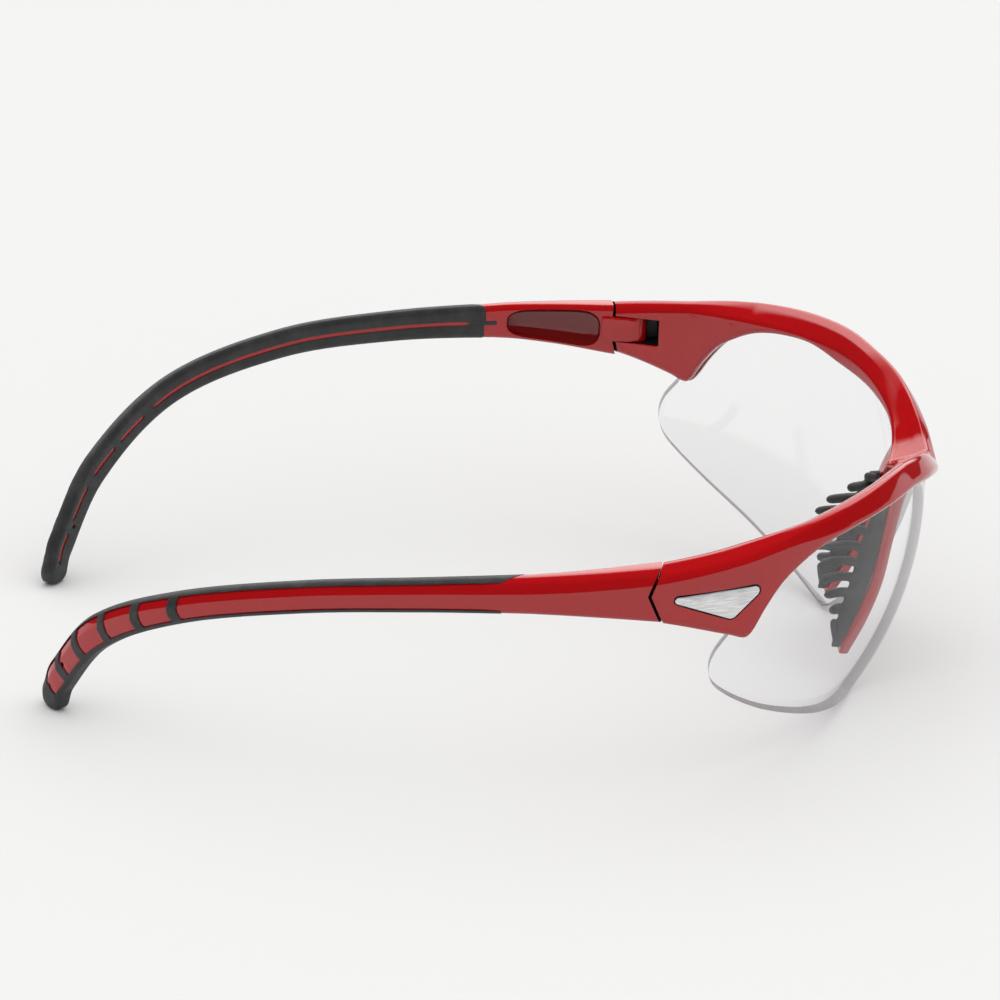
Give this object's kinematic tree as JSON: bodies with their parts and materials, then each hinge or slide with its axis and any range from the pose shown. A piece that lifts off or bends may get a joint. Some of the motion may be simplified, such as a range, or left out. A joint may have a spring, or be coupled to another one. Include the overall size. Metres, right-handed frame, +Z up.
{
  "type": "sports protective goggles",
  "caption": "Wraparound sports eye protector: clear shield lens in a red half frame, finned nose pads and folding temples with soft grips.",
  "frame": {"origin": "centre of the footprint, on the surface that the lens edge and temple tips rest on", "axes": "+X forward through the bridge, +Y to the wearer's left, +Z up"},
  "size_m": [0.172, 0.1394, 0.0524],
  "materials": {
    "frame_red": "glossy metallic red lacquer over moulded nylon",
    "temple_red": "glossy red lacquer, satin inside the grip",
    "lens_clear": "clear polished polycarbonate",
    "badge_metal": "brushed, with a dark painted rim",
    "pad_rubber": "matt soft-touch",
    "grip_rubber": "satin soft-touch",
    "screw_steel": "plain"
  },
  "bodies": {
    "front": {"front_frame": "frame_red", "lens": "lens_clear", "badge_plate_right": "badge_metal", "badge_plate_left": "badge_metal", "nose_pad_right": "pad_rubber", "nose_pad_left": "pad_rubber", "hinge_screw_right": "screw_steel", "hinge_screw_left": "screw_steel"},
    "right_temple": {"temple_core_right": "temple_red", "temple_grip_right": "grip_rubber"},
    "left_temple": {"temple_core_left": "temple_red", "temple_grip_left": "grip_rubber"}
  },
  "joints": [
    {"name": "right_hinge", "type": "hinge", "parent": "front", "child": "right_temple", "pos_m": [0.0326, -0.0641, 0.0414], "axis": [0, 0, -1], "range_deg": [0, 73]},
    {"name": "left_hinge", "type": "hinge", "parent": "front", "child": "left_temple", "pos_m": [0.0326, 0.0641, 0.0414], "axis": [0, 0, 1], "range_deg": [0, 78]}
  ]
}
